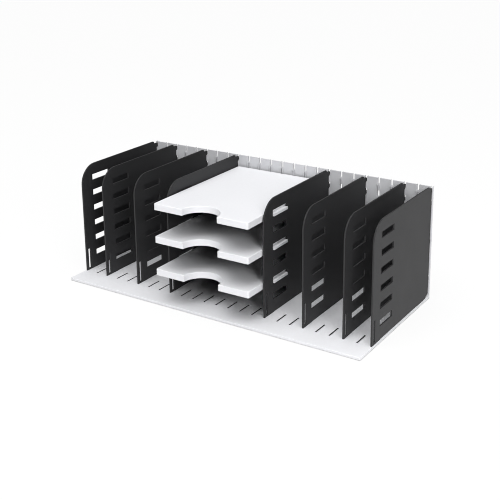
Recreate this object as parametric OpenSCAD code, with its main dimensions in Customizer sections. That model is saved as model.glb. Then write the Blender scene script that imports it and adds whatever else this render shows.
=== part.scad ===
// Plug-together document sorter: slotted base plate, slotted back panel,
// upright dividers and a bay of three shelves. Millimetres, front towards -Y,
// origin on the floor under the middle of the base plate.

/* [Layout] */
// Distance between neighbouring slot columns
column_pitch = 29.9; // [28:0.1:34]
// Columns across each outermost compartment
outer_bay_columns = 2; // [2:1:3]
// Columns across each of the other upright compartments
side_bay_columns = 3; // [2:1:4]
// Columns across the bay that holds the shelves
shelf_bay_columns = 8; // [7:1:9]

/* [Fits] */
// Side clearance of a tab, tongue or hook in its slot
plug_gap = 0.3; // [0.2:0.05:0.5]
// Clearance at each end of a tab in its slot
end_gap = 0.5; // [0.3:0.1:1]
// Gap between a plugged piece and the face that it stands on
seat_gap = 0.3; // [0.2:0.05:0.5]

/* [Base plate] */
// Height of the outer edge
base_h = 5.5; // [5:0.1:9]
// Thickness of the top skin
base_skin = 3; // [2.2:0.1:3.4]
// Reach of the plate ahead of the dividers
base_ledge = 51.5; // [40:0.5:70]
// Reach of the plate past the centre of each outermost column
side_margin = 3; // [2.8:0.1:8]
// Plan radius of the corners
base_corner_r = 3; // [2:0.5:6]
// Radius along the top edges
base_edge_r = 1; // [0.5:0.1:1.8]
// Thickness of the rim and of the ribs under the plate
base_rib_t = 2; // [1.4:0.1:2.4]
// Ribs that run across the plate, side to side
base_cross_ribs = 5; // [3:1:7]

/* [Feet] */
// Radius of a rubber foot
foot_r = 8; // [5:0.5:9]
// Part of a foot that stands out under the rim
foot_proud = 0.7; // [0.5:0.1:2]
// Distance from the front or rear edge to the centre of a foot
foot_inset = 22; // [16:1:30]
// Wall of the ring that holds a foot
foot_ring_t = 1.4; // [1:0.1:2]

/* [Dividers] */
// Thickness of a divider
divider_t = 3; // [2.6:0.1:3.6]
// Height of a divider without its tabs
divider_h = 246.5; // [238:0.5:300]
// Depth of a divider without its hooks
divider_d = 271.5; // [255:0.5:320]
// Radius of the upper front corner
divider_corner_r = 43.5; // [12:0.5:60]
// Radius along the front and top edges
divider_edge_r = 0.5; // [0.3:0.1:0.9]
// Radius of the upper rear corner
divider_rear_r = 4; // [1:0.5:7]
// Depth of the thin tongue along the rear edge
tongue_d = 12; // [9:0.1:14]
// Thickness of the tongue and the hooks
tongue_t = 2.4; // [1.8:0.1:2.6]
// Distance of the tongue's top below the divider's top
tongue_drop = 5.5; // [4:0.5:6]
// Depth of the slanted cut at the lower rear corner
heel_d = 16; // [13:0.5:20]
// Height of the slanted cut at the lower rear corner
heel_h = 7.4; // [6:0.2:10]
// Length of a base tab
tab_l = 37.2; // [25:0.5:42]
// Depth of a base tab
tab_h = 4.2; // [3:0.1:4.6]
// Distance from the front edge to the rear base tab
rear_tab_y = 214; // [120:1:216]

/* [Divider windows] */
// Number of windows up a divider
window_count = 6; // [5:1:6]
// Distance between neighbouring windows
window_pitch = 36; // [30:0.5:38]
// Height of the lowest window above the divider's foot
window_floor = 27.8; // [25:0.1:34]
// Height of a window
window_h = 13.4; // [12:0.1:16]
// Length of a window
window_l = 54.5; // [40:0.1:80]
// Distance from the front edge to the windows
window_inset = 33.6; // [26:0.1:50]
// Width of the upright slit behind the front edge
slit_w = 6.5; // [3:0.1:9]
// Height of the slit
slit_h = 47; // [30:1:60]
// Distance from the front edge to the slit
slit_inset = 7; // [5:0.1:10]
// Height of the slit above the divider's foot
slit_floor = 3; // [2:0.1:6]

/* [Back panel] */
// Thickness of the panel's sheet
sheet_t = 3; // [2.4:0.1:3.6]
// Distance of the panel's top below the dividers' tops
panel_drop = 2.5; // [0.5:0.1:4]
// Width of the open notches and of the slots
notch_w = 5; // [4.4:0.1:6]
// Depth of an open notch
notch_h = 12.2; // [11.4:0.1:15]
// Height of a closed slot
slot_h = 12.3; // [12:0.1:15]
// Distance from the panel's top to the top of the first slots
first_slot_drop = 27.9; // [26:0.1:32]
// Distance between rows of slots
slot_row_pitch = 84; // [60:1:86]
// Number of rows of closed slots
slot_rows = 3; // [2:1:3]
// Height of the guide rails on the front of the sheet
rail_h = 3.5; // [2:0.1:4.5]
// Thickness of a guide rail
rail_t = 1.1; // [0.8:0.1:1.6]
// Space left between a rail's end and a notch or slot
rail_end_gap = 1.5; // [1:0.1:3]
// Depth of the foot behind the sheet
panel_foot_d = 4.7; // [4.5:0.1:8]
// Height of the foot behind the sheet
panel_foot_h = 12; // [8:0.5:20]
// Thickness of the walls that close the ends of the panel
panel_end_t = 1.3; // [0.8:0.1:1.4]
// Depth of the ribs behind the sheet
panel_rib_d = 3.4; // [2:0.1:4.4]
// Thickness of the ribs behind the sheet
panel_rib_t = 1.8; // [1.4:0.1:2.4]
// Depth of the thin collars that run up both sides of each column
collar_d = 2.3; // [1:0.1:3]
// Thickness of a collar
collar_t = 1.2; // [0.8:0.1:1.6]
// Width of a tab under the panel
panel_tab_w = 16; // [8:0.5:20]
// Depth of a tab under the panel
panel_tab_h = 4; // [3:0.1:4.6]

/* [Hooks] */
// Height of a hook's neck
neck_h = 6.5; // [5:0.1:6.6]
// Gap between the neck and the floor of its slot
neck_seat = 0.5; // [0.4:0.05:0.8]
// Reach of the lip below the neck
lip_h = 4; // [3:0.1:4.4]
// Thickness of the lip
lip_t = 3.4; // [2.4:0.1:3.8]

/* [Shelves] */
// Reach of a shelf ahead of the dividers
shelf_ledge = 50.5; // [30:0.1:51]
// Gap between a shelf's side and a divider
shelf_side_gap = 2.5; // [1:0.1:8]
// Gap between a shelf and the guide rails behind it
shelf_rear_gap = 1.5; // [1:0.1:10]
// Thickness of a shelf's top skin
shelf_skin = 3; // [2.4:0.1:4]
// Height of the rim round a shelf
shelf_rim_h = 14; // [10:0.1:20]
// Thickness of the rim
shelf_rim_t = 2.5; // [2:0.1:4]
// Radius along a shelf's top edges
shelf_edge_r = 2; // [1:0.1:2.4]
// Plan radius of a shelf's corners
shelf_corner_r = 4; // [3:0.5:8]
// Width of the thumb cut-out at the front edge
thumb_w = 86; // [84:1:120]
// Depth of the thumb cut-out
thumb_d = 42; // [15:0.5:42]
// Thickness of a side tab
shelf_tab_t = 5.4; // [3:0.1:7]
// Distance of a side tab's top below the shelf's top
shelf_tab_drop = 5.1; // [3:0.1:6]
// Gap between a side tab and the floor of its window
shelf_tab_seat = 0.2; // [0.1:0.05:0.4]
// Part of a side tab that stands out past the divider
shelf_tab_proud = 2.8; // [0.5:0.1:4]
// Depth of the ribs under the skin
shelf_rib_h = 5; // [3:0.5:7]
// Thickness of the ribs under the skin
shelf_rib_t = 2; // [1.4:0.1:3]

/* [Hidden] */
$fn = 64;
// Overshoot of a cutting solid
cut = 1;

// Columns, counted from 0 at the left
side_columns = outer_bay_columns + 2 * side_bay_columns;
column_count = shelf_bay_columns + 2 * side_columns + 1;
last_column = column_count - 1;
divider_columns = [0,
                   outer_bay_columns,
                   outer_bay_columns + side_bay_columns,
                   side_columns,
                   side_columns + shelf_bay_columns,
                   side_columns + shelf_bay_columns + side_bay_columns,
                   last_column - outer_bay_columns,
                   last_column];
function column_x(k) = (k - last_column / 2) * column_pitch;

// Heights
base_top = foot_proud + base_h;
divider_z = base_top + seat_gap;
panel_top = divider_z + divider_h - panel_drop;
notch_floor = panel_top - notch_h;
function slot_floor(row) = panel_top - first_slot_drop - row * slot_row_pitch - slot_h;
slot_floors = [for (row = [0 : slot_rows - 1]) slot_floor(row)];
hook_floors = concat([notch_floor], slot_floors);

// Depths
base_d = base_ledge + divider_d + seat_gap + sheet_t + panel_foot_d;
base_w = last_column * column_pitch + 2 * side_margin;
base_front = -base_d / 2;
divider_y = base_front + base_ledge;
sheet_y = divider_y + divider_d + seat_gap;
sheet_back = sheet_y + sheet_t;
rail_y = sheet_y - rail_h;
body_d = divider_d - tongue_d;

// Widths of the slots and guides that take a divider
base_slot_w = divider_t + 2 * plug_gap;
base_slot_l = tab_l + 2 * end_gap;
guide_w = tongue_t + 2 * plug_gap;

// Width between the end walls of the panel, and over them
panel_inner_w = last_column * column_pitch + guide_w;
panel_w = panel_inner_w + 2 * panel_end_t;

// Shelf
bay_w = shelf_bay_columns * column_pitch - divider_t;
shelf_w = bay_w - 2 * shelf_side_gap;
shelf_front = divider_y - shelf_ledge;
shelf_back = rail_y - shelf_rear_gap;
shelf_d = shelf_back - shelf_front;
shelf_tab_l = window_l - 2 * end_gap;
thumb_r = (pow(thumb_w / 2, 2) + pow(thumb_d, 2)) / (2 * thumb_d);
thumb_y = shelf_front + thumb_d - thumb_r;
function shelf_top_z(level) = divider_z + window_floor + level * window_pitch
                              + shelf_tab_seat + shelf_tab_t + shelf_tab_drop;

// Gaps between columns that hold a foot or a tab of the back panel
outer_gap = last_column / 2 - 0.5;
inner_gap = (shelf_bay_columns - 1) / 2;
foot_gaps = [-outer_gap, -inner_gap, inner_gap, outer_gap];
panel_tab_gaps = [-outer_gap, -inner_gap - side_bay_columns, -inner_gap,
                  inner_gap, inner_gap + side_bay_columns, outer_gap];
foot_ys = [base_front + foot_inset, -base_front - foot_inset];
foot_h = base_top - base_skin;

// Colours
white = [0.94, 0.94, 0.96];
panel_grey = [0.84, 0.84, 0.86];
black = [0.13, 0.13, 0.135];
rubber = [0.2, 0.2, 0.21];

// Flat rectangle with round corners, centred on X, its front edge at y = 0
module round_rect(w, d, r) {
    translate([-w / 2 + r, 0]) square([w - 2 * r, d]);
    translate([-w / 2, r]) square([w, d - 2 * r]);
    for (x = [-w / 2 + r, w / 2 - r], y = [r, d - r])
        translate([x, y]) circle(r);
}

// What a radius r takes off a square corner at the origin
module corner_waste(r) {
    difference() {
        translate([-r, -r]) square(r + cut);
        translate([-r, -r]) circle(r);
    }
}

// Rounds the top edges of a round_rect block whose top is at z = 0
module round_top_edges(w, d, plan_r, r) {
    for (side = [-1, 1]) {
        translate([side * w / 2, plan_r, 0])
            rotate([90, 0, 180]) mirror([side < 0 ? 0 : 1, 0, 0])
                linear_extrude(d - 2 * plan_r) corner_waste(r);
        translate([side * (w / 2 - plan_r), plan_r, 0])
            rotate([0, 0, side < 0 ? 180 : 270]) round_corner_waste(plan_r, r);
        translate([side * (w / 2 - plan_r), d - plan_r, 0])
            rotate([0, 0, side < 0 ? 90 : 0]) round_corner_waste(plan_r, r);
    }
    translate([-w / 2 + plan_r, 0, 0])
        rotate([90, 0, 90]) mirror([1, 0, 0])
            linear_extrude(w - 2 * plan_r) corner_waste(r);
    translate([-w / 2 + plan_r, d, 0])
        rotate([90, 0, 90]) linear_extrude(w - 2 * plan_r) corner_waste(r);
}

// Waste of the edge radius round one plan corner, from +X to +Y
module round_corner_waste(plan_r, r) {
    rotate_extrude(angle = 90) translate([plan_r, 0]) corner_waste(r);
}

module base_plan() {
    translate([0, base_front]) round_rect(base_w, base_d, base_corner_r);
}

// Plan of the slots that take the base tabs of the dividers
module base_slots() {
    for (k = [0 : last_column], y = [0, rear_tab_y])
        translate([column_x(k) - base_slot_w / 2, divider_y + y - end_gap])
            square([base_slot_w, base_slot_l]);
}

// Plan of the slots that take the tabs of the back panel
module panel_tab_slots() {
    for (gap = panel_tab_gaps)
        translate([gap * column_pitch - panel_tab_w / 2 - end_gap, sheet_y - plug_gap])
            square([panel_tab_w + 2 * end_gap, sheet_t + 2 * plug_gap]);
}

module foot_circles(r) {
    for (gap = foot_gaps, y = foot_ys)
        translate([gap * column_pitch, y]) circle(r);
}

// Rim, ribs and foot rings under the skin of the base plate
module base_frame_plan() {
    difference() {
        base_plan();
        translate([-base_w / 2 + base_rib_t, base_front + base_rib_t])
            square([base_w - 2 * base_rib_t, base_d - 2 * base_rib_t]);
    }
    for (i = [1 : base_cross_ribs])
        translate([-base_w / 2 + base_rib_t / 2,
                   base_front + i * base_d / (base_cross_ribs + 1) - base_rib_t / 2])
            square([base_w - base_rib_t, base_rib_t]);
    for (k = [0 : last_column - 1])
        if (k % 3 == 1)
            translate([column_x(k + 0.5) - base_rib_t / 2, base_front + base_rib_t / 2])
                square([base_rib_t, base_d - base_rib_t]);
    foot_circles(foot_r + plug_gap + foot_ring_t);
}

module base_plate() {
    color(white) difference() {
        union() {
            translate([0, 0, base_top - base_skin]) linear_extrude(base_skin) base_plan();
            translate([0, 0, foot_proud])
                linear_extrude(base_h - base_skin + 0.001) base_frame_plan();
        }
        translate([0, 0, foot_proud - cut]) linear_extrude(base_h + 2 * cut) {
            base_slots();
            panel_tab_slots();
        }
        translate([0, 0, foot_proud - cut])
            linear_extrude(base_h - base_skin + cut) foot_circles(foot_r + plug_gap);
        translate([0, base_front, base_top])
            round_top_edges(base_w, base_d, base_corner_r, base_edge_r);
    }
}

module foot(i) {
    gap = foot_gaps[i % 4];
    y = foot_ys[floor(i / 4)];
    color(rubber) translate([gap * column_pitch, y, 0]) cylinder(h = foot_h, r = foot_r);
}

// Front view of the panel between its end walls
module panel_inner_view(top) {
    translate([-panel_inner_w / 2, base_top]) square([panel_inner_w, top - base_top]);
}

// Front view of the open notches on top and the rows of slots below
module hook_holes() {
    intersection() {
        for (k = [0 : last_column]) translate([column_x(k) - notch_w / 2, 0]) {
            translate([0, notch_floor]) square([notch_w, notch_h + cut]);
            for (z = slot_floors) translate([0, z]) square([notch_w, slot_h]);
        }
        panel_inner_view(panel_top + cut);
    }
}

// Front view of the guide rails, which stop short of each notch and slot
module rail_view() {
    rail_top = notch_floor - rail_end_gap;
    intersection() {
        difference() {
            for (k = [0 : last_column], side = [-1, 1])
                translate([column_x(k) + side * (guide_w + rail_t) / 2 - rail_t / 2, base_top])
                    square([rail_t, rail_top - base_top]);
            for (z = slot_floors)
                translate([-panel_w / 2, z - rail_end_gap])
                    square([panel_w, slot_h + 2 * rail_end_gap]);
        }
        panel_inner_view(rail_top);
    }
}

// Rear view of the ribs, between the rows of slots and the columns
module panel_rib_view() {
    rib_top = notch_floor - lip_h - rail_end_gap;
    for (i = [0 : slot_rows - 1])
        translate([-panel_w / 2, slot_floors[i] + slot_h + rail_end_gap])
            square([panel_w, panel_rib_t]);
    for (k = [0 : last_column - 1])
        if (k % 3 == 1)
            translate([column_x(k + 0.5) - panel_rib_t / 2, base_top])
                square([panel_rib_t, rib_top - base_top]);
}

// Rear view of the collars beside the notches and slots of each column
module collar_view() {
    intersection() {
        for (k = [0 : last_column], side = [-1, 1])
            translate([column_x(k) + side * (notch_w + collar_t) / 2 - collar_t / 2, base_top])
                square([collar_t, panel_top - base_top]);
        panel_inner_view(panel_top);
    }
}

// Plan of the foot, its rear corners cut back to the outline of the base plate
module panel_foot_plan() {
    intersection() {
        translate([-panel_w / 2, sheet_back - 0.001]) square([panel_w, panel_foot_d + 0.001]);
        base_plan();
    }
}

// Foot behind the sheet: two flanges joined by webs between the columns
module panel_foot() {
    for (z = [0, panel_foot_h - panel_rib_t])
        translate([0, 0, base_top + z]) linear_extrude(panel_rib_t) panel_foot_plan();
    for (k = [0 : last_column - 1])
        translate([column_x(k + 0.5) - panel_rib_t / 2, sheet_back, base_top])
            cube([panel_rib_t, panel_foot_d, panel_foot_h]);
}

// Walls that close both ends of the panel and cover the outermost hooks
module panel_ends() {
    translate([0, 0, base_top]) linear_extrude(panel_top - base_top) difference() {
        panel_foot_plan();
        translate([-panel_inner_w / 2, sheet_back - cut])
            square([panel_inner_w, panel_foot_d + 2 * cut]);
    }
}

// Sloping fillet along the foot of the sheet, under the dividers' heels
module panel_cove() {
    cove_d = heel_d - 3;
    translate([-panel_inner_w / 2, 0, 0]) rotate([90, 0, 90]) linear_extrude(panel_inner_w)
        polygon([[sheet_y + 0.001, base_top],
                 [sheet_y - cove_d, base_top],
                 [sheet_y + 0.001, base_top + heel_h * cove_d / heel_d]]);
}

module back_panel() {
    color(panel_grey) {
        translate([0, sheet_back, 0]) rotate([90, 0, 0]) linear_extrude(sheet_t) difference() {
            translate([-panel_w / 2, base_top]) square([panel_w, panel_top - base_top]);
            hook_holes();
        }
        translate([0, sheet_y + 0.001, 0]) rotate([90, 0, 0])
            linear_extrude(rail_h) rail_view();
        translate([0, sheet_back + panel_rib_d, 0]) rotate([90, 0, 0])
            linear_extrude(panel_rib_d + 0.001) panel_rib_view();
        translate([0, sheet_back + collar_d, 0]) rotate([90, 0, 0])
            linear_extrude(collar_d + 0.001) collar_view();
        panel_foot();
        panel_ends();
        panel_cove();
        for (gap = panel_tab_gaps)
            translate([gap * column_pitch - panel_tab_w / 2, sheet_y, base_top - panel_tab_h])
                cube([panel_tab_w, sheet_t, panel_tab_h + 0.001]);
    }
}

// Side view of the divider's full-thickness plate, front edge at the left
module divider_plate_view() {
    r = divider_corner_r;
    rear_r = divider_rear_r;
    difference() {
        union() {
            square([body_d, divider_h - r]);
            translate([r, 0]) square([body_d - r - rear_r, divider_h]);
            translate([r, 0]) square([body_d - r, divider_h - rear_r]);
            translate([r, divider_h - r]) circle(r, $fn = 128);
            translate([body_d - rear_r, divider_h - rear_r]) circle(rear_r);
            for (y = [0, rear_tab_y]) translate([y, -tab_h]) square([tab_l, tab_h + cut]);
        }
        for (i = [0 : window_count - 1])
            translate([window_inset, window_floor + i * window_pitch])
                square([window_l, window_h]);
        translate([slit_inset, slit_floor]) square([slit_w, slit_h]);
        heel_cut();
    }
}

module heel_cut() {
    polygon([[divider_d - heel_d, -cut - tab_h],
             [divider_d - heel_d, 0],
             [divider_d, heel_h],
             [divider_d + cut, heel_h],
             [divider_d + cut, -cut - tab_h]]);
}

// Side view of the thin tongue with its row of hooks
module tongue_view() {
    difference() {
        translate([body_d - cut, 0]) square([tongue_d + cut, divider_h - tongue_drop]);
        heel_cut();
    }
    for (z = hook_floors) translate([divider_d, z + neck_seat - divider_z]) hook_view();
}

// One hook: a neck through the sheet, and a lip down behind it
module hook_view() {
    reach = seat_gap + sheet_t + plug_gap;
    polygon([[-cut, 0],
             [reach, 0],
             [reach, -lip_h],
             [reach + lip_t / 2, -lip_h],
             [reach + lip_t, -lip_h / 2],
             [reach + lip_t, neck_h - lip_t / 2],
             [reach + lip_t / 2, neck_h],
             [-cut, neck_h]]);
}

// Rounds the front and top edges of a divider on its +X face
module divider_edge_waste() {
    r = divider_corner_r;
    e = divider_edge_r;
    translate([divider_t / 2, 0, -tab_h - cut]) mirror([0, 1, 0])
        linear_extrude(divider_h - r + tab_h + cut) corner_waste(e);
    translate([divider_t / 2, r, divider_h]) rotate([-90, 0, 0]) mirror([0, 1, 0])
        linear_extrude(body_d - r - divider_rear_r) corner_waste(e);
    translate([divider_t / 2, r, divider_h - r]) rotate([0, -90, 0]) mirror([0, 0, 1])
        rotate([0, 0, -90]) rotate_extrude(angle = 90, $fn = 128)
            translate([r, 0]) corner_waste(e);
}

module divider(i) {
    color(black) translate([column_x(divider_columns[i]), divider_y, divider_z]) {
        difference() {
            translate([-divider_t / 2, 0, 0]) rotate([90, 0, 90])
                linear_extrude(divider_t) divider_plate_view();
            divider_edge_waste();
            mirror([1, 0, 0]) divider_edge_waste();
        }
        translate([-tongue_t / 2, 0, 0]) rotate([90, 0, 90])
            linear_extrude(tongue_t) tongue_view();
    }
}

module thumb_circle(r) {
    translate([0, thumb_y]) circle(r, $fn = 128);
}

module shelf_plan() {
    translate([0, shelf_front]) round_rect(shelf_w, shelf_d, shelf_corner_r);
}

// Rim round a shelf, which follows the thumb cut-out
module shelf_rim_plan() {
    difference() {
        shelf_plan();
        translate([-shelf_w / 2 + shelf_rim_t, shelf_front + shelf_rim_t])
            square([shelf_w - 2 * shelf_rim_t, shelf_d - 2 * shelf_rim_t]);
    }
    intersection() {
        shelf_plan();
        thumb_circle(thumb_r + shelf_rim_t);
    }
}

// Ribs under a shelf: two from front to back and three across
module shelf_rib_plan() {
    for (x = [-1, 1] * shelf_w / 4)
        translate([x - shelf_rib_t / 2, shelf_front + shelf_rim_t / 2])
            square([shelf_rib_t, shelf_d - shelf_rim_t]);
    for (i = [1 : 3])
        translate([-shelf_w / 2 + shelf_rim_t / 2, shelf_front + i * shelf_d / 4])
            square([shelf_w - shelf_rim_t, shelf_rib_t]);
}

// Side tab of a shelf, which lies in a window and stands out past the divider
module shelf_tab() {
    reach = shelf_side_gap + divider_t + shelf_tab_proud;
    translate([shelf_w / 2 - shelf_rim_t / 2, divider_y + window_inset + end_gap,
               -shelf_tab_drop - shelf_tab_t])
        cube([reach + shelf_rim_t / 2, shelf_tab_l, shelf_tab_t]);
}

module shelf(level) {
    color(white) translate([0, 0, shelf_top_z(level)]) {
        difference() {
            union() {
                translate([0, 0, -shelf_skin]) linear_extrude(shelf_skin) shelf_plan();
                translate([0, 0, -shelf_rim_h])
                    linear_extrude(shelf_rim_h - shelf_skin + 0.001) shelf_rim_plan();
                translate([0, 0, -shelf_skin - shelf_rib_h])
                    linear_extrude(shelf_rib_h + 0.001) shelf_rib_plan();
            }
            translate([0, 0, -shelf_rim_h - cut])
                linear_extrude(shelf_rim_h + 2 * cut) thumb_circle(thumb_r);
            translate([0, shelf_front, 0])
                round_top_edges(shelf_w, shelf_d, shelf_corner_r, shelf_edge_r);
            translate([0, thumb_y, 0]) rotate_extrude($fn = 128)
                translate([thumb_r, 0]) mirror([1, 0]) corner_waste(shelf_edge_r);
        }
        shelf_tab();
        mirror([1, 0, 0]) shelf_tab();
    }
}

base_plate();
back_panel();
foot(0);  // foot_1
foot(1);  // foot_2
foot(2);  // foot_3
foot(3);  // foot_4
foot(4);  // foot_5
foot(5);  // foot_6
foot(6);  // foot_7
foot(7);  // foot_8
divider(0);  // divider_1
divider(1);  // divider_2
divider(2);  // divider_3
divider(3);  // divider_4
divider(4);  // divider_5
divider(5);  // divider_6
divider(6);  // divider_7
divider(7);  // divider_8
shelf(window_count - 1);  // shelf_top
shelf(window_count - 3);  // shelf_middle
shelf(window_count - 5);  // shelf_bottom
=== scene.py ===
# Plug-together document sorter: finishes, rounded edges, camera and light
import math

import bmesh
import bpy
from mathutils import Matrix, Vector


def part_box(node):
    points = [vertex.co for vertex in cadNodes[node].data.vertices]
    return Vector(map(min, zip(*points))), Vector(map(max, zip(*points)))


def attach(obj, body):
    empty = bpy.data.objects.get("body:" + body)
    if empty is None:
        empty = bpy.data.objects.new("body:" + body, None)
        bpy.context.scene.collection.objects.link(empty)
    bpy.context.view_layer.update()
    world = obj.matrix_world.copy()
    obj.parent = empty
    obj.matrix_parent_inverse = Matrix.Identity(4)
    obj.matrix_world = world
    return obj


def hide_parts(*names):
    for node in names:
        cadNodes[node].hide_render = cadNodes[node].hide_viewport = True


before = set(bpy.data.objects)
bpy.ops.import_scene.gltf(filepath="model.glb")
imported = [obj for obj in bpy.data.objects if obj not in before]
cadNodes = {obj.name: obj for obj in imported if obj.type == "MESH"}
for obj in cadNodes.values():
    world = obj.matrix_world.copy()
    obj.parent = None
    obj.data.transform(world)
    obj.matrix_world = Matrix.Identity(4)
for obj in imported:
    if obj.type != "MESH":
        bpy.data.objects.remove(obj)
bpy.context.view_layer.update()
print("frame loaded:", len(cadNodes), "nodes")

# Solved from about sixty corners of the photo; only the shift is smaller than in the photo
cameraSetup = {
    "photoSize": 500,
    "position": (1.0616, -1.6107, 0.8471),
    "yaw": 32.989,
    "pitch": 15.401,
    "roll": -0.621,
    "focalPixels": 950.05,
    "sensor": 36.0,
    "shiftY": -0.2,
    "clipStart": 0.05,
    "clipEnd": 60,
}


def makeCamera():
    data = bpy.data.cameras.new("photoCamera")
    data.sensor_width = cameraSetup["sensor"]
    data.lens = cameraSetup["sensor"] * cameraSetup["focalPixels"] / cameraSetup["photoSize"]
    data.shift_y = cameraSetup["shiftY"]
    data.clip_start = cameraSetup["clipStart"]
    data.clip_end = cameraSetup["clipEnd"]
    camera = bpy.data.objects.new("photoCamera", data)
    bpy.context.scene.collection.objects.link(camera)
    turn = (
        Matrix.Rotation(math.radians(cameraSetup["yaw"]), 4, "Z")
        @ Matrix.Rotation(math.radians(90 - cameraSetup["pitch"]), 4, "X")
        @ Matrix.Rotation(math.radians(cameraSetup["roll"]), 4, "Z")
    )
    camera.matrix_world = Matrix.Translation(cameraSetup["position"]) @ turn
    bpy.context.scene.camera = camera


makeCamera()
print("camera set")


# Small helpers for node trees
def addNode(tree, kind, place=(0, 0), **settings):
    node = tree.nodes.new(kind)
    node.location = place
    for name, value in settings.items():
        setattr(node, name, value)
    return node


def join(tree, start, end):
    tree.links.new(start, end)


def setInput(tree, socket, value):
    if isinstance(value, bpy.types.NodeSocket):
        join(tree, value, socket)
    elif value is not None:
        socket.default_value = value


# Fills inputs by their names, with _ for a space
def feed(tree, node, **sources):
    for name, value in sources.items():
        setInput(tree, node.inputs[name.replace("_", " ")], value)
    return node


def mathStep(tree, operation, first, second=None, third=None, clamp=False, place=(0, 0)):
    node = addNode(tree, "ShaderNodeMath", place, operation=operation, use_clamp=clamp)
    for socket, value in zip(node.inputs, (first, second, third)):
        setInput(tree, socket, value)
    return node.outputs[0]


def mixColour(tree, first, second, share, place):
    node = addNode(tree, "ShaderNodeMix", place, data_type="RGBA")
    for name, colour in (("A", first), ("B", second)):
        setInput(tree, node.inputs[name], (*colour, 1) if isinstance(colour, tuple) else colour)
    return feed(tree, node, Factor=share).outputs["Result"]


def mixSurface(tree, out, share, first, second):
    mix = addNode(tree, "ShaderNodeMixShader", (300, 0))
    for socket, source in zip(mix.inputs, (share, first.outputs[0], second.outputs[0])):
        join(tree, source, socket)
    join(tree, mix.outputs[0], out.inputs["Surface"])


def emptyTree(owner):
    owner.use_nodes = True
    owner.node_tree.nodes.clear()
    return owner.node_tree


socketKinds = {
    float: "NodeSocketFloat",
    int: "NodeSocketInt",
    "number": "NodeSocketFloat",
    "vector": "NodeSocketVector",
    "geometry": "NodeSocketGeometry",
    "material": "NodeSocketMaterial",
}


# Inputs and outputs are given as a name with a value, or with the kind of a socket that needs none
def newGroup(name, treeKind, inputs, outputs, reach=(-900, 700)):
    group = bpy.data.node_groups.new(name, treeKind)
    for direction, sockets in (("INPUT", inputs), ("OUTPUT", outputs)):
        for label, value in sockets.items():
            hasValue = not isinstance(value, str)
            kind = socketKinds[type(value) if hasValue else value]
            socket = group.interface.new_socket(label, in_out=direction, socket_type=kind)
            if hasValue:
                socket.default_value = value
    into = addNode(group, "NodeGroupInput", (reach[0], 0))
    out = addNode(group, "NodeGroupOutput", (reach[1], 0))
    return group, into.outputs, out


# Shader groups shared by the plastics
grainTexture = {
    "fineDetail": 2.0,
    "fineRoughness": 0.6,
    "pitSmoothness": 0.6,
    "slowDetail": 3.0,
    "leastStrength": 0.7,
    "strengthSpread": 0.5,
}
rubTexture = {"samples": 4, "gain": 5.0, "noiseScale": 90.0, "noiseDetail": 4.0}
dustTexture = {"scale": 160.0, "detail": 6.0, "threshold": 0.5, "gain": 6.0}


def makeMouldGrain():
    # Fine spark-eroded grain of a steel mould, with a slow change in its strength
    inputs = {"Vector": "vector", "Grain Size": 0.0006, "Patch Size": 0.05}
    outputs = {"Height": "number", "Mask": "number"}
    group, size, out = newGroup("mouldGrain", "ShaderNodeTree", inputs, outputs)
    where = size["Vector"]
    fineScale = mathStep(group, "DIVIDE", 1.0, size["Grain Size"], place=(-700, 150))
    slowScale = mathStep(group, "DIVIDE", 1.0, size["Patch Size"], place=(-700, -150))
    fine = addNode(group, "ShaderNodeTexNoise", (-450, 200))
    feed(group, fine, Vector=where, Scale=fineScale)
    feed(group, fine, Detail=grainTexture["fineDetail"], Roughness=grainTexture["fineRoughness"])
    pits = addNode(group, "ShaderNodeTexVoronoi", (-450, -50), feature="SMOOTH_F1")
    feed(group, pits, Vector=where, Scale=fineScale, Smoothness=grainTexture["pitSmoothness"])
    slow = addNode(group, "ShaderNodeTexNoise", (-450, -350))
    feed(group, slow, Vector=where, Scale=slowScale, Detail=grainTexture["slowDetail"])
    both = mathStep(group, "ADD", fine.outputs["Fac"], pits.outputs["Distance"], place=(-150, 100))
    spread, least = grainTexture["strengthSpread"], grainTexture["leastStrength"]
    strength = mathStep(group, "MULTIPLY_ADD", slow.outputs["Fac"], spread, least, place=(-150, -200))
    height = mathStep(group, "MULTIPLY", both, strength, place=(150, 100))
    feed(group, out, Height=height, Mask=slow.outputs["Fac"])
    return group


def makeEdgeRubAndHighlight():
    # Mask along rounded edges, broken up by noise, where handling polishes the plastic and where a
    # lighter colour is painted on as an edge highlight
    inputs = {"Vector": "vector", "Width": 0.0012, "Break Up": 0.35}
    group, size, out = newGroup("edgeRubAndHighlight", "ShaderNodeTree", inputs, {"Mask": "number"})
    rounded = addNode(group, "ShaderNodeBevel", (-650, 150), samples=rubTexture["samples"])
    feed(group, rounded, Radius=size["Width"])
    true = addNode(group, "ShaderNodeNewGeometry", (-650, -50))
    turn = addNode(group, "ShaderNodeVectorMath", (-400, 100), operation="DOT_PRODUCT")
    join(group, rounded.outputs["Normal"], turn.inputs[0])
    join(group, true.outputs["Normal"], turn.inputs[1])
    away = mathStep(group, "SUBTRACT", 1.0, turn.outputs["Value"], clamp=True, place=(-200, 100))
    wide = mathStep(group, "MULTIPLY", away, rubTexture["gain"], clamp=True, place=(0, 100))
    noise = addNode(group, "ShaderNodeTexNoise", (-400, -250))
    feed(group, noise, Vector=size["Vector"])
    feed(group, noise, Scale=rubTexture["noiseScale"], Detail=rubTexture["noiseDetail"])
    gap = mathStep(group, "MULTIPLY", noise.outputs["Fac"], size["Break Up"], place=(0, -150))
    wornAndHighlit = mathStep(group, "SUBTRACT", wide, gap, clamp=True, place=(250, 0))
    feed(group, out, Mask=wornAndHighlit)
    return group


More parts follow.
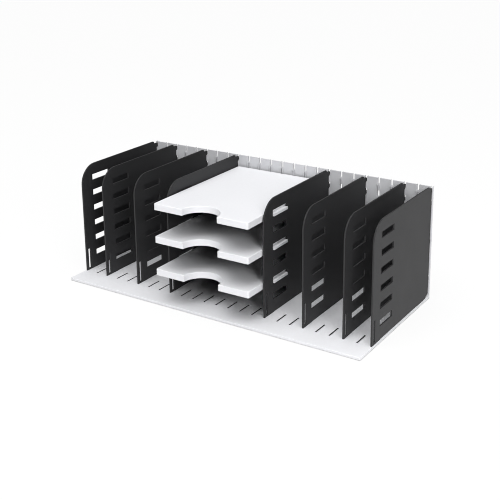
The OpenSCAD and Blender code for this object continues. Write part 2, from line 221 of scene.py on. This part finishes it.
def makeDust():
    # Sparse specks that settle on what faces up
    inputs = {"Vector": "vector", "Amount": 0.2}
    group, size, out = newGroup("settledDust", "ShaderNodeTree", inputs, {"Mask": "number"})
    surface = addNode(group, "ShaderNodeNewGeometry", (-650, 150))
    facing = addNode(group, "ShaderNodeSeparateXYZ", (-450, 150))
    join(group, surface.outputs["Normal"], facing.inputs[0])
    up = mathStep(group, "MULTIPLY", facing.outputs["Z"], size["Amount"], clamp=True, place=(-200, 150))
    specks = addNode(group, "ShaderNodeTexNoise", (-450, -150))
    feed(group, specks, Vector=size["Vector"])
    feed(group, specks, Scale=dustTexture["scale"], Detail=dustTexture["detail"])
    lifted = mathStep(
        group, "SUBTRACT", specks.outputs["Fac"], dustTexture["threshold"], place=(-200, -150)
    )
    sharp = mathStep(group, "MULTIPLY", lifted, dustTexture["gain"], clamp=True, place=(0, -150))
    mask = mathStep(group, "MULTIPLY", up, sharp, clamp=True, place=(250, 0))
    feed(group, out, Mask=mask)
    return group


def makeSlotShade():
    # Painted shade on the walls of slots that are cut through a flat skin, inside the plate's outline
    inputs = {
        "Vector": "vector",
        "Skin Floor": 0.003,
        "Skin Top": 0.006,
        "Fade": 0.0003,
        "Reach X": 0.1,
        "Reach Y": 0.1,
    }
    group, size, out = newGroup("slotShade", "ShaderNodeTree", inputs, {"Mask": "number"})
    axes = addNode(group, "ShaderNodeSeparateXYZ", (-700, 0))
    join(group, size["Vector"], axes.inputs[0])
    height = axes.outputs["Z"]
    inside = mathStep(group, "GREATER_THAN", height, size["Skin Floor"], place=(-450, 200))
    for row, axis in enumerate("XY"):
        level = -150 * row
        away = mathStep(group, "ABSOLUTE", axes.outputs[axis], place=(-450, level))
        within = mathStep(group, "LESS_THAN", away, size[f"Reach {axis}"], place=(-250, level))
        inside = mathStep(group, "MULTIPLY", inside, within, place=(-50, level))
    below = mathStep(group, "SUBTRACT", size["Skin Top"], height, place=(-450, 400))
    depth = mathStep(group, "DIVIDE", below, size["Fade"], clamp=True, place=(-250, 400))
    mask = mathStep(group, "MULTIPLY", inside, depth, clamp=True, place=(250, 100))
    feed(group, out, Mask=mask)
    return group


mouldGrain = makeMouldGrain()
edgeRubAndHighlight = makeEdgeRubAndHighlight()
settledDust = makeDust()
slotShade = makeSlotShade()


def placeGroup(tree, group, where, place, **values):
    node = addNode(tree, "ShaderNodeGroup", place, node_tree=group)
    return feed(tree, node, Vector=where, **values)


def makePlastic(name, look):
    material = bpy.data.materials.new(name)
    tree = emptyTree(material)
    where = addNode(tree, "ShaderNodeTexCoord", (-900, 0)).outputs["Object"]
    grain = placeGroup(tree, mouldGrain, where, (-600, 200))
    feed(tree, grain, Grain_Size=look["grainSize"], Patch_Size=look["patchSize"])
    rub = placeGroup(tree, edgeRubAndHighlight, where, (-600, -50))
    feed(tree, rub, Width=look["rubWidth"], Break_Up=look["rubBreakUp"])
    dust = placeGroup(tree, settledDust, where, (-600, -300), Amount=look["dust"])
    patch, wornAndHighlit = grain.outputs["Mask"], rub.outputs["Mask"]

    colour = mixColour(tree, look["colour"], look["patchColour"], patch, (-300, 300))
    # Lighter rounded edges: wear from handling, and also a painted highlight along the edges
    colour = mixColour(tree, colour, look["rubAndHighlightColour"], wornAndHighlit, (0, 200))
    colour = mixColour(tree, colour, look["dustColour"], dust.outputs["Mask"], (250, 100))
    # Painted shade: the base's slot walls are coloured dark for the shade that falls in the slots
    if "slots" in look:
        shade = placeGroup(tree, slotShade, where, (0, 450), **look["slots"])
        colour = mixColour(tree, colour, look["paintedSlotShadeColour"], shade.outputs["Mask"], (400, 300))

    spread = look["roughnessSpread"]
    least = look["roughness"] - spread / 2
    slow = mathStep(tree, "MULTIPLY_ADD", patch, spread, least, place=(-300, -100))
    polished = mathStep(tree, "MULTIPLY", wornAndHighlit, look["rubPolish"], place=(-300, -300))
    rough = mathStep(tree, "SUBTRACT", slow, polished, clamp=True, place=(0, -150))
    bump = addNode(tree, "ShaderNodeBump", (250, -300))
    feed(tree, bump, Strength=look["bump"], Distance=look["bumpDepth"], Height=grain.outputs["Height"])

    shader = addNode(tree, "ShaderNodeBsdfPrincipled", (600, 0))
    feed(tree, shader, Base_Color=colour, Roughness=rough, Normal=bump.outputs["Normal"])
    shader.inputs["Specular IOR Level"].default_value = look["specular"]
    out = addNode(tree, "ShaderNodeOutputMaterial", (900, 0))
    join(tree, shader.outputs[0], out.inputs["Surface"])
    material.diffuse_color = (*look["colour"], 1)
    return material


whiteLook = {
    "colour": (0.86, 0.865, 0.895),
    "patchColour": (0.885, 0.89, 0.915),
    "rubAndHighlightColour": (0.93, 0.93, 0.945),
    "dustColour": (0.62, 0.61, 0.6),
    "grainSize": 0.0006,
    "patchSize": 0.07,
    "roughness": 0.46,
    "roughnessSpread": 0.1,
    "rubWidth": 0.0009,
    "rubBreakUp": 0.5,
    "rubPolish": 0.12,
    "dust": 0.06,
    "bump": 0.16,
    "bumpDepth": 0.00012,
    "specular": 0.5,
}
# The base's white, with painted shade on the walls of its slots
baseLook = dict(
    whiteLook,
    paintedSlotShadeColour=(0.05, 0.05, 0.052),
    slots={
        "Skin Floor": 0.00325,
        "Skin Top": 0.0061,
        "Fade": 0.0003,
        "Reach X": 0.3585,
        "Reach Y": 0.1625,
    },
)
greyLook = dict(
    whiteLook,
    colour=(0.7, 0.705, 0.73),
    patchColour=(0.725, 0.73, 0.755),
    rubAndHighlightColour=(0.79, 0.79, 0.81),
    roughness=0.5,
)
blackLook = {
    "colour": (0.026, 0.026, 0.0275),
    "patchColour": (0.031, 0.031, 0.0325),
    "rubAndHighlightColour": (0.042, 0.042, 0.044),
    "dustColour": (0.25, 0.24, 0.23),
    "grainSize": 0.0007,
    "patchSize": 0.06,
    "roughness": 0.56,
    "roughnessSpread": 0.1,
    "rubWidth": 0.0007,
    "rubBreakUp": 0.6,
    "rubPolish": 0.08,
    "dust": 0.12,
    "bump": 0.22,
    "bumpDepth": 0.00015,
    "specular": 0.36,
}
rubberLook = dict(
    blackLook,
    colour=(0.03, 0.03, 0.032),
    patchColour=(0.04, 0.04, 0.042),
    rubAndHighlightColour=(0.07, 0.07, 0.072),
    roughness=0.78,
    rubPolish=0.05,
    grainSize=0.0004,
    bump=0.35,
    specular=0.35,
)
whitePlastic = makePlastic("whitePlastic", whiteLook)
basePlastic = makePlastic("basePlastic", baseLook)
greyPlastic = makePlastic("greyPlastic", greyLook)
blackPlastic = makePlastic("blackPlastic", blackLook)
footRubber = makePlastic("footRubber", rubberLook)
print("materials made")

# Points closer than these are one point, and faces flatter than this angle are one face
meshTidy = {"mergeDistance": 2e-6, "seamDistance": 1e-6, "flatAngle": 0.2}


# Turns an object's finished shape into a plain mesh
def bakeShape(piece):
    bpy.context.view_layer.update()
    graph = bpy.context.evaluated_depsgraph_get()
    finished = bpy.data.meshes.new_from_object(piece.evaluated_get(graph), depsgraph=graph)
    piece.modifiers.clear()
    piece.data = finished
    finished.name = piece.name


def tidyMesh(mesh):
    work = bmesh.new()
    work.from_mesh(mesh)
    bmesh.ops.remove_doubles(work, verts=work.verts, dist=meshTidy["mergeDistance"])
    bmesh.ops.dissolve_limit(
        work,
        angle_limit=math.radians(meshTidy["flatAngle"]),
        use_dissolve_boundaries=False,
        verts=work.verts,
        edges=work.edges,
    )
    work.to_mesh(mesh)
    work.free()


# Rounds the sharp edges of a piece and keeps its large faces flat in the light
def roundEdges(piece, look):
    for face in piece.data.polygons:
        face.use_smooth = True
    bevel = piece.modifiers.new("softEdges", "BEVEL")
    bevel.width = look["width"]
    bevel.segments = look["segments"]
    bevel.limit_method = "ANGLE"
    bevel.angle_limit = math.radians(look["angle"])
    bevel.use_clamp_overlap = True
    weighted = piece.modifiers.new("flatNormals", "WEIGHTED_NORMAL")
    weighted.mode = "FACE_AREA"
    weighted.weight = 100
    bakeShape(piece)


def addPiece(name, mesh):
    piece = bpy.data.objects.new(name, mesh)
    bpy.context.scene.collection.objects.link(piece)
    return piece


def setFinish(piece, material):
    piece.data.materials.clear()
    piece.data.materials.append(material)
    for face in piece.data.polygons:
        face.material_index = 0


# Geometry Nodes helpers: each tree ends in Realize Instances and Set Material
def newShapeTree(name, inputs):
    inputs = {"Geometry": "geometry", **inputs, "Material": "material"}
    return newGroup(name, "GeometryNodeTree", inputs, {"Geometry": "geometry"}, (-1600, 1900))


def pack3(tree, x=0.0, y=0.0, z=0.0, place=(0, 0)):
    return feed(tree, addNode(tree, "ShaderNodeCombineXYZ", place), X=x, Y=y, Z=z).outputs[0]


def endTree(tree, size, out, geometry):
    real = addNode(tree, "GeometryNodeRealizeInstances", (1500, 0))
    feed(tree, real, Geometry=geometry)
    paint = addNode(tree, "GeometryNodeSetMaterial", (1700, 0))
    feed(tree, paint, Geometry=real.outputs["Geometry"], Material=size["Material"])
    feed(tree, out, Geometry=paint.outputs["Geometry"])


def runTree(piece, tree, values):
    step = piece.modifiers.new(tree.name, "NODES")
    step.node_group = tree
    for socket in tree.interface.items_tree:
        if socket.item_type == "SOCKET" and socket.in_out == "INPUT" and socket.name in values:
            step[socket.identifier] = values[socket.name]
    bakeShape(piece)


# A flat outline with holes, filled and thickened evenly to both sides
def thickPlate(tree, curves, thickness, place):
    x, y = place
    face = addNode(tree, "GeometryNodeFillCurve", (x, y), mode="NGONS")
    feed(tree, face, Curve=curves)
    raised = addNode(tree, "GeometryNodeExtrudeMesh", (x + 200, y), mode="FACES")
    feed(tree, raised, Mesh=face.outputs["Mesh"], Offset_Scale=thickness, Individual=False)
    under = addNode(tree, "GeometryNodeFlipFaces", (x + 200, y - 250))
    feed(tree, under, Mesh=face.outputs["Mesh"])
    both = addNode(tree, "GeometryNodeJoinGeometry", (x + 400, y))
    for part in (under.outputs["Mesh"], raised.outputs["Mesh"]):
        join(tree, part, both.inputs["Geometry"])
    closed = addNode(tree, "GeometryNodeMergeByDistance", (x + 600, y))
    feed(tree, closed, Geometry=both.outputs["Geometry"], Distance=meshTidy["seamDistance"])
    half = mathStep(tree, "MULTIPLY", thickness, -0.5, place=(x + 400, y - 350))
    shift = pack3(tree, z=half, place=(x + 600, y - 350))
    centred = addNode(tree, "GeometryNodeTransform", (x + 800, y))
    feed(tree, centred, Geometry=closed.outputs["Geometry"], Translation=shift)
    return centred.outputs["Geometry"]


def roundHole(tree, size, width, height, place):
    x, y = place
    hole = addNode(tree, "GeometryNodeCurvePrimitiveQuadrilateral", (x, y), mode="RECTANGLE")
    feed(tree, hole, Width=width, Height=height)
    soft = addNode(tree, "GeometryNodeFilletCurve", (x + 200, y), mode="POLY")
    feed(tree, soft, Curve=hole.outputs["Curve"])
    feed(tree, soft, Radius=size["Hole Radius"], Count=size["Hole Steps"])
    return soft.outputs["Curve"]


# Middle of a hole that starts at an inset from the front edge and a height above the foot
def holeMiddle(tree, width, inset, height, floor, place):
    x, y = place
    along = mathStep(tree, "MULTIPLY_ADD", width, 0.5, inset, place=(x, y))
    up = mathStep(tree, "MULTIPLY_ADD", height, 0.5, floor, place=(x, y - 150))
    return pack3(tree, along, up, place=(x + 200, y))


# Sizes of a divider in metres, measured along it from its front edge and up from its foot
dividerShape = {
    "count": 8,
    "inShelfBay": (4, 5),
    "depth": 0.2715,
    "height": 0.2465,
    "frontRadius": 0.0435,
    "rearRadius": 0.004,
    "tabLength": 0.0372,
    "tabDrop": 0.0042,
    "rearTab": 0.214,
    "heelDepth": 0.016,
    "heelHeight": 0.0074,
    "tongueDepth": 0.012,
    "tongueDrop": 0.0055,
    "tongueOverlap": 0.001,
    "hookFeet": (0.0363, 0.1203, 0.2043, 0.2323),
    "neckReach": 0.0036,
    "neckHeight": 0.0065,
    "lipDrop": 0.004,
    "lipThickness": 0.0034,
    "smallRadius": 0.0006,
    "edges": {"width": 0.00045, "segments": 3, "angle": 40},
    "treeInputs": {
        "Thickness": 0.003,
        "Tongue Thickness": 0.0024,
        "Segments Per Metre": 500.0,
        "Fewest Segments": 3.0,
        "Window Count": 6,
        "Window Pitch": 0.036,
        "Window Length": 0.0545,
        "Window Height": 0.0134,
        "Window Inset": 0.0336,
        "Window Floor": 0.0278,
        "Slit Width": 0.0065,
        "Slit Height": 0.047,
        "Slit Inset": 0.007,
        "Slit Floor": 0.003,
        "Hole Radius": 0.0006,
        "Hole Steps": 4,
    },
}


def namedValue(tree, name, place):
    node = addNode(tree, "GeometryNodeInputNamedAttribute", place, data_type="FLOAT")
    node.inputs["Name"].default_value = name
    return node.outputs["Attribute"]


def makeDividerTree():
    # The outline keeps a corner radius on each point; the windows repeat up the plate
    inputs = {**dividerShape["treeInputs"], "Place": "vector"}
    tree, size, out = newShapeTree("dividerPlate", inputs)
    radius = namedValue(tree, "cornerRadius", (-1400, -500))
    tongue = namedValue(tree, "tongue", (-1400, -700))
    perMetre, fewest = size["Segments Per Metre"], size["Fewest Segments"]
    steps = mathStep(tree, "MULTIPLY_ADD", radius, perMetre, fewest, place=(-1200, -500))
    loops = addNode(tree, "GeometryNodeMeshToCurve", (-1400, 300))
    feed(tree, loops, Mesh=size["Geometry"])
    rounded = addNode(tree, "GeometryNodeFilletCurve", (-1000, 200), mode="POLY")
    feed(tree, rounded, Curve=loops.outputs["Curve"], Radius=radius, Count=steps)
    parts = addNode(tree, "GeometryNodeSeparateGeometry", (-800, 200), domain="POINT")
    feed(tree, parts, Geometry=rounded.outputs["Curve"], Selection=tongue)

    length, height = size["Window Length"], size["Window Height"]
    window = roundHole(tree, size, length, height, (-1200, -900))
    inset, floor = size["Window Inset"], size["Window Floor"]
    lowest = holeMiddle(tree, length, inset, height, floor, (-1200, -1100))
    pitch = pack3(tree, y=size["Window Pitch"], place=(-1000, -1300))
    rows = addNode(tree, "GeometryNodeMeshLine", (-800, -1000), mode="OFFSET", count_mode="TOTAL")
    feed(tree, rows, Count=size["Window Count"], Start_Location=lowest, Offset=pitch)
    windows = addNode(tree, "GeometryNodeInstanceOnPoints", (-600, -900))
    feed(tree, windows, Points=rows.outputs["Mesh"], Instance=window)
    windowCut = addNode(tree, "GeometryNodeRealizeInstances", (-400, -900))
    feed(tree, windowCut, Geometry=windows.outputs["Instances"])

    width, height = size["Slit Width"], size["Slit Height"]
    slit = roundHole(tree, size, width, height, (-1200, -1500))
    inset, floor = size["Slit Inset"], size["Slit Floor"]
    middle = holeMiddle(tree, width, inset, height, floor, (-1200, -1700))
    slitCut = addNode(tree, "GeometryNodeTransform", (-600, -1500))
    feed(tree, slitCut, Geometry=slit, Translation=middle)

    curves = addNode(tree, "GeometryNodeJoinGeometry", (-200, -300))
    for part in (slitCut.outputs["Geometry"], windowCut.outputs["Geometry"], parts.outputs["Inverted"]):
        join(tree, part, curves.inputs["Geometry"])
    plate = thickPlate(tree, curves.outputs["Geometry"], size["Thickness"], (0, -200))
    back = thickPlate(tree, parts.outputs["Selection"], size["Tongue Thickness"], (0, 400))
    whole = addNode(tree, "GeometryNodeJoinGeometry", (1000, 100))
    for part in (back, plate):
        join(tree, part, whole.inputs["Geometry"])
    stood = addNode(tree, "GeometryNodeTransform", (1200, 100))
    feed(tree, stood, Geometry=whole.outputs["Geometry"], Translation=size["Place"])
    stood.inputs["Rotation"].default_value = (math.radians(90), 0, math.radians(90))
    endTree(tree, size, out, stood.outputs["Geometry"])
    return tree


# Points of the plate and of its tongue, each as (along, up, corner radius)
def dividerOutlines():
    s = dividerShape
    depth, height, small = s["depth"], s["height"], s["smallRadius"]
    split = depth - s["tongueDepth"]
    heel = depth - s["heelDepth"]
    slope = s["heelHeight"] / s["heelDepth"]
    tabFoot, frontEnd = -s["tabDrop"], s["tabLength"]
    rearStart, rearEnd = s["rearTab"], s["rearTab"] + s["tabLength"]
    plate = [(0, tabFoot, 0), (frontEnd, tabFoot, small), (frontEnd, 0, 0)]
    plate += [(rearStart, 0, 0), (rearStart, tabFoot, small)]
    plate += [(rearEnd, tabFoot, small), (rearEnd, 0, 0)]
    plate += [(heel, 0, 0), (split, (split - heel) * slope, 0)]
    plate += [(split, height, s["rearRadius"]), (0, height, s["frontRadius"])]
    inner = split - s["tongueOverlap"]
    tongue = [(inner, (inner - heel) * slope, 0), (depth, s["heelHeight"], 0)]
    neck, lip = depth + s["neckReach"], s["lipThickness"]
    for foot in s["hookFeet"]:
        low, top = foot - s["lipDrop"], foot + s["neckHeight"]
        tongue += [(depth, foot, 0), (neck, foot, 0), (neck, low, 0)]
        tongue += [(neck + lip / 2, low, small), (neck + lip, foot - s["lipDrop"] / 2, small)]
        tongue += [(neck + lip, top - lip / 2, small), (neck + lip / 2, top, small), (depth, top, 0)]
    rearTop = height - s["tongueDrop"]
    tongue += [(depth, rearTop, small), (inner, rearTop, 0)]
    return plate, tongue


def makeDividers():
    tree = makeDividerTree()
    for number in range(1, dividerShape["count"] + 1):
        low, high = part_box(f"divider_{number}")
        mesh = bpy.data.meshes.new(f"divider{number}")
        points, edges, isTongue = [], [], []
        for kind, outline in enumerate(dividerOutlines()):
            first, length = len(points), len(outline)
            points += outline
            isTongue += [float(kind)] * length
            edges += [(first + i, first + (i + 1) % length) for i in range(length)]
        mesh.from_pydata([(x, y, 0) for x, y, radius in points], edges, [])
        marks = {"cornerRadius": [radius for x, y, radius in points], "tongue": isTongue}
        for name, values in marks.items():
            mesh.attributes.new(name, "FLOAT", "POINT").data.foreach_set("value", values)
        piece = addPiece(f"divider{number}", mesh)
        place = ((low.x + high.x) / 2, low.y, low.z + dividerShape["tabDrop"])
        runTree(piece, tree, {"Place": place, "Material": blackPlastic})
        for name in marks:
            if piece.data.attributes.get(name):
                piece.data.attributes.remove(piece.data.attributes[name])
        tidyMesh(piece.data)
        roundEdges(piece, dividerShape["edges"])
        setFinish(piece, blackPlastic)
        inBay = number in dividerShape["inShelfBay"]
        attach(piece, "shelf_bay" if inBay else f"divider_{number}_body")
        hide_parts(f"divider_{number}")


makeDividers()
print("dividers made")

# Half section of a foot as (radius, height), turned about its axis
footShape = {
    "profile": (
        (0.0, 0.0005), (0.0042, 0.0005), (0.0047, 0.0), (0.0072, 0.0), (0.0078, 0.0003),
        (0.008, 0.0009), (0.008, 0.003), (0.0078, 0.0032), (0.0, 0.0032),
    ),
    "steps": 48,
    "flatAbove": 0.9,
    "count": 8,
}


def makeFeetTree():
    # One foot, repeated at four places along each long side
    inputs = {"Outer Reach": 0.34385, "Inner Reach": 0.10465, "Row Reach": 0.1435}
    tree, size, out = newShapeTree("rubberFeet", inputs)
    points = addNode(tree, "GeometryNodeJoinGeometry", (300, 200))
    pairs = [(name, side) for side in (1, -1) for name in ("Outer Reach", "Inner Reach")]
    for row, (name, side) in enumerate(pairs):
        level = -300 * row
        start = mathStep(tree, "MULTIPLY", size[name], -1.0, place=(-900, level))
        step = mathStep(tree, "MULTIPLY", size[name], 2.0, place=(-900, level - 150))
        y = mathStep(tree, "MULTIPLY", size["Row Reach"], side, place=(-700, level - 150))
        first = pack3(tree, start, y, place=(-500, level))
        offset = pack3(tree, step, place=(-500, level - 150))
        pair = addNode(tree, "GeometryNodeMeshLine", (-300, level), mode="OFFSET", count_mode="TOTAL")
        feed(tree, pair, Count=2, Start_Location=first, Offset=offset)
        join(tree, pair.outputs["Mesh"], points.inputs["Geometry"])
    feet = addNode(tree, "GeometryNodeInstanceOnPoints", (700, 0))
    feed(tree, feet, Points=points.outputs["Geometry"], Instance=size["Geometry"])
    endTree(tree, size, out, feet.outputs["Instances"])
    return tree


def makeFeet():
    work = bmesh.new()
    verts = [work.verts.new((radius, 0, height)) for radius, height in footShape["profile"]]
    edges = [work.edges.new(pair) for pair in zip(verts, verts[1:])]
    bmesh.ops.spin(
        work, geom=verts + edges, axis=(0, 0, 1), angle=math.tau, steps=footShape["steps"]
    )
    bmesh.ops.remove_doubles(work, verts=work.verts, dist=meshTidy["seamDistance"])
    bmesh.ops.recalc_face_normals(work, faces=work.faces)
    mesh = bpy.data.meshes.new("rubberFeet")
    work.to_mesh(mesh)
    work.free()
    piece = addPiece("rubberFeet", mesh)
    outer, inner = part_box("foot_8"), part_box("foot_7")
    values = {
        "Outer Reach": (outer[0].x + outer[1].x) / 2,
        "Inner Reach": (inner[0].x + inner[1].x) / 2,
        "Row Reach": (outer[0].y + outer[1].y) / 2,
        "Material": footRubber,
    }
    runTree(piece, makeFeetTree(), values)
    for face in piece.data.polygons:
        face.use_smooth = abs(face.normal.z) < footShape["flatAbove"]
    setFinish(piece, footRubber)
    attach(piece, "stand")
    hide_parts(*[f"foot_{number}" for number in range(1, footShape["count"] + 1)])


makeFeet()
print("feet made")

# Width in metres, steps and least angle of the rounding of the remaining pieces' edges
shelfEdges = {"width": 0.0004, "segments": 2, "angle": 45}
baseEdges = {"width": 0.0003, "segments": 2, "angle": 45}
panelEdges = {"width": 0.0002, "segments": 1, "angle": 50}


# A copy of a CAD node with clean faces and rounded edges, which stands for the node
def softCopy(nodeName, pieceName, body, material, look):
    mesh = cadNodes[nodeName].data.copy()
    if mesh.attributes.get("custom_normal"):
        mesh.attributes.remove(mesh.attributes["custom_normal"])
    piece = addPiece(pieceName, mesh)
    tidyMesh(mesh)
    roundEdges(piece, look)
    setFinish(piece, material)
    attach(piece, body)
    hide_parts(nodeName)


for level in ("top", "middle", "bottom"):
    pieceName = f"shelf{level.capitalize()}"
    softCopy(f"shelf_{level}", pieceName, "shelf_bay", whitePlastic, shelfEdges)
softCopy("base_plate", "basePlate", "stand", basePlastic, baseEdges)
softCopy("back_panel", "backPanel", "stand", greyPlastic, panelEdges)
print("shelves, base and back panel rounded")

# Floor, world and lamps; shownWhite is the share of plain white that the camera sees on the floor
stageLook = {
    "floorSize": 30.0,
    "floorColour": (1.0, 1.0, 1.0),
    "bounceColour": (0.95, 0.95, 0.95),
    "shownWhite": 0.88,
    "underBase": (0.3618, 0.1655),
    "softLight": 0.02,
    "mirroredLight": 0.3,
    "domeLight": 2.3,
    "domeAim": (0.04, -0.15, 0.95),
    "domeEdge": 0.5,
    "diffuseBounces": 1,
    "pixelFilter": 1.0,
}
lamps = [
    {"name": "keySoftbox", "place": (0.1, -1.1, 2.4), "aim": (0, 0, 0.12), "size": 1.5, "power": 16},
    {"name": "sideSoftbox", "place": (2.1, -1.5, 1.3), "aim": (0, 0, 0.12), "size": 1.0, "power": 25},
]


def makeFloor():
    half = stageLook["floorSize"] / 2
    corners = [(-half, -half, 0), (half, -half, 0), (half, half, 0), (-half, half, 0)]
    mesh = bpy.data.meshes.new("floor")
    mesh.from_pydata(corners, [], [(0, 1, 2, 3)])
    floor = addPiece("floor", mesh)
    material = bpy.data.materials.new("floorWhite")
    tree = emptyTree(material)
    path = addNode(tree, "ShaderNodeLightPath", (-500, 0)).outputs
    bounce, plain = stageLook["bounceColour"], stageLook["floorColour"]
    colour = mixColour(tree, bounce, plain, path["Is Camera Ray"], (-200, 200))
    matt = feed(tree, addNode(tree, "ShaderNodeBsdfDiffuse", (0, 150)), Color=colour)
    glow = feed(tree, addNode(tree, "ShaderNodeEmission", (0, -50)), Strength=1.0)
    seen = path["Is Camera Ray"]
    for row, ray in enumerate(("Is Glossy Ray", "Is Transmission Ray")):
        seen = mathStep(tree, "MAXIMUM", seen, path[ray], place=(-300, 100 - 200 * row))
    # Under the base the floor has no white of its own, so the slots look down into shade
    where = addNode(tree, "ShaderNodeTexCoord", (-900, 300)).outputs["Object"]
    axes = addNode(tree, "ShaderNodeSeparateXYZ", (-700, 300))
    join(tree, where, axes.inputs[0])
    outside = None
    for axis, reach in zip("XY", stageLook["underBase"]):
        away = mathStep(tree, "ABSOLUTE", axes.outputs[axis], place=(-500, 400))
        beyond = mathStep(tree, "GREATER_THAN", away, reach, place=(-300, 400))
        if outside:
            beyond = mathStep(tree, "MAXIMUM", outside, beyond, place=(-150, 400))
        outside = beyond
    seen = mathStep(tree, "MULTIPLY", seen, outside, place=(-100, 100))
    share = mathStep(tree, "MULTIPLY", seen, stageLook["shownWhite"], place=(0, 300))
    out = addNode(tree, "ShaderNodeOutputMaterial", (600, 0))
    mixSurface(tree, out, share, matt, glow)
    mesh.materials.append(material)


def makeWorld():
    world = bpy.data.worlds.new("softStudio")
    bpy.context.scene.world = world
    tree = emptyTree(world)
    light = addNode(tree, "ShaderNodeBackground", (0, 150))
    shown = addNode(tree, "ShaderNodeBackground", (0, -50))
    shown.inputs["Color"].default_value = (1, 1, 1, 1)
    path = addNode(tree, "ShaderNodeLightPath", (-500, 0)).outputs
    glossy = path["Is Glossy Ray"]
    # A wide soft lobe of light from almost straight above, fading to all sides
    where = addNode(tree, "ShaderNodeTexCoord", (-1100, 300)).outputs["Generated"]
    aim = addNode(tree, "ShaderNodeVectorMath", (-900, 300), operation="DOT_PRODUCT")
    join(tree, where, aim.inputs[0])
    aim.inputs[1].default_value = Vector(stageLook["domeAim"]).normalized()
    lobe = addNode(tree, "ShaderNodeMapRange", (-700, 300), interpolation_type="SMOOTHSTEP")
    feed(tree, lobe, Value=aim.outputs["Value"], From_Min=stageLook["domeEdge"], From_Max=1.0)
    feed(tree, lobe, To_Max=stageLook["domeLight"])
    dome = mathStep(tree, "ADD", lobe.outputs["Result"], stageLook["softLight"], place=(-500, 300))
    notGlossy = mathStep(tree, "SUBTRACT", 1.0, glossy, place=(-500, 500))
    diffuse = mathStep(tree, "MULTIPLY", dome, notGlossy, place=(-350, 400))
    mirrored = stageLook["mirroredLight"]
    strength = mathStep(tree, "MULTIPLY_ADD", glossy, mirrored, diffuse, place=(-200, 300))
    feed(tree, light, Strength=strength)
    cameraRay, clearRay = path["Is Camera Ray"], path["Is Transmission Ray"]
    seen = mathStep(tree, "MAXIMUM", cameraRay, clearRay, place=(-300, 0))
    mixSurface(tree, addNode(tree, "ShaderNodeOutputWorld", (600, 0)), seen, light, shown)


def makeLamps():
    for lamp in lamps:
        data = bpy.data.lights.new(lamp["name"], "AREA")
        data.shape = "SQUARE"
        data.size = lamp["size"]
        data.energy = lamp["power"]
        light = bpy.data.objects.new(lamp["name"], data)
        bpy.context.scene.collection.objects.link(light)
        light.location = lamp["place"]
        aim = Vector(lamp["aim"]) - Vector(lamp["place"])
        light.rotation_mode = "QUATERNION"
        light.rotation_quaternion = aim.to_track_quat("-Z", "Y")


makeFloor()
makeWorld()
makeLamps()
bpy.context.scene.view_settings.view_transform = "Standard"
bpy.context.scene.cycles.diffuse_bounces = stageLook["diffuseBounces"]
bpy.context.scene.cycles.filter_width = stageLook["pixelFilter"]
print("stage and light set")
